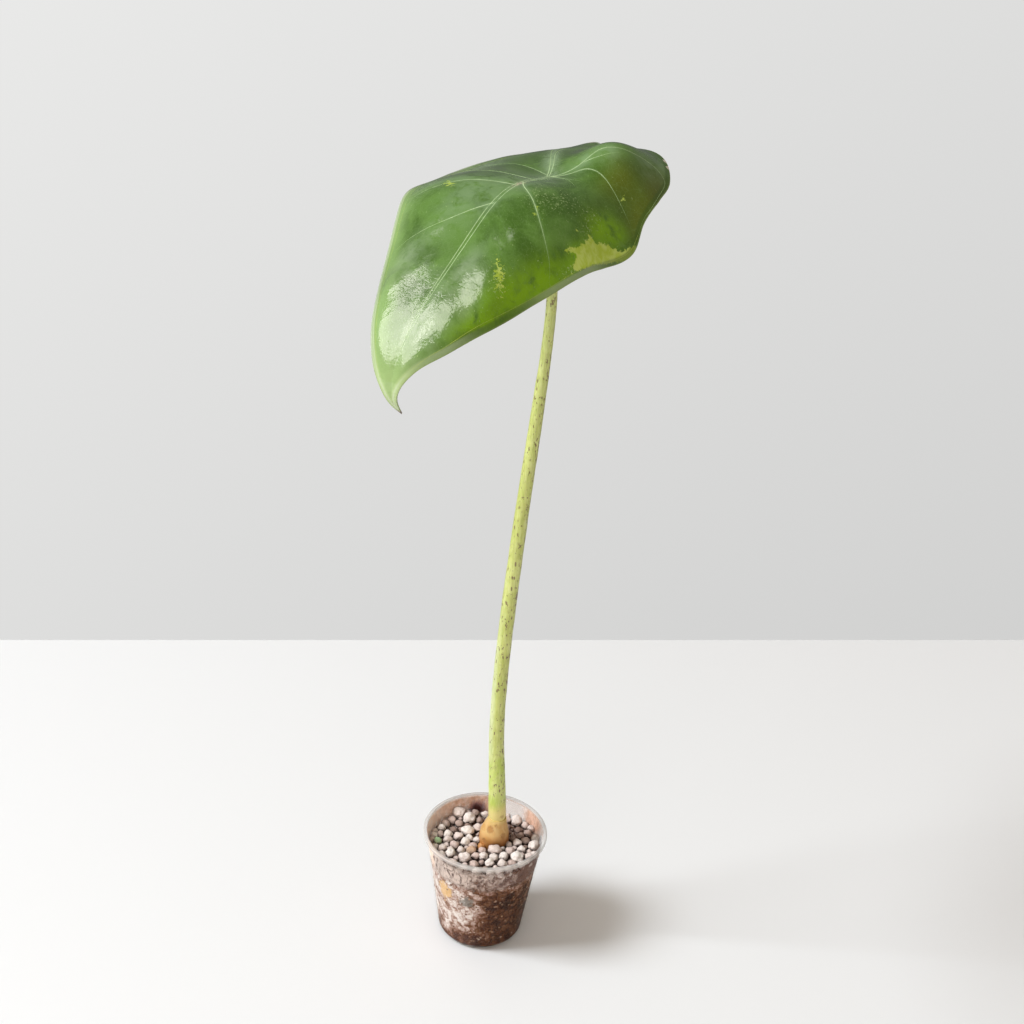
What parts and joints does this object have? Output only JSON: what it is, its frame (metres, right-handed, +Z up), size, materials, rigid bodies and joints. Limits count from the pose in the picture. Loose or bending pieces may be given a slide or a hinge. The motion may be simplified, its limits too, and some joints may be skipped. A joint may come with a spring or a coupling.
{
  "type": "potted alocasia longiloba",
  "caption": "Young arrow-leaved house plant on a tall stalk, growing from a corm in pumice and potting mix inside a small clear cup; stands on a table or shelf.",
  "frame": {"origin": "middle of the cup's foot, on the surface that it stands on", "axes": "+Z up along the plant; the leaf's tip points towards -Y and a little towards -X"},
  "size_m": [0.1282, 0.1808, 0.449],
  "materials": {
    "clear_plastic": "clear, thin, slightly scuffed plastic",
    "mix": "moist bark and peat with pale grains",
    "pumice": "dull, rounded, fine pored",
    "green_stone": "dull green",
    "tan_stone": "dull, crusty tan",
    "corm": "smooth tan skin with brown scars",
    "petiole": "satin pale green with brown flecks",
    "leaf": "glossy dark green with pale veins"
  },
  "bodies": {
    "root": {"cup": "clear_plastic", "potting_mix": "mix", "pumice_stones": "pumice", "green_stone": "green_stone", "tan_stone": "tan_stone", "corm": "corm", "petiole": "petiole", "leaf_blade": "leaf"}
  },
  "joints": []
}
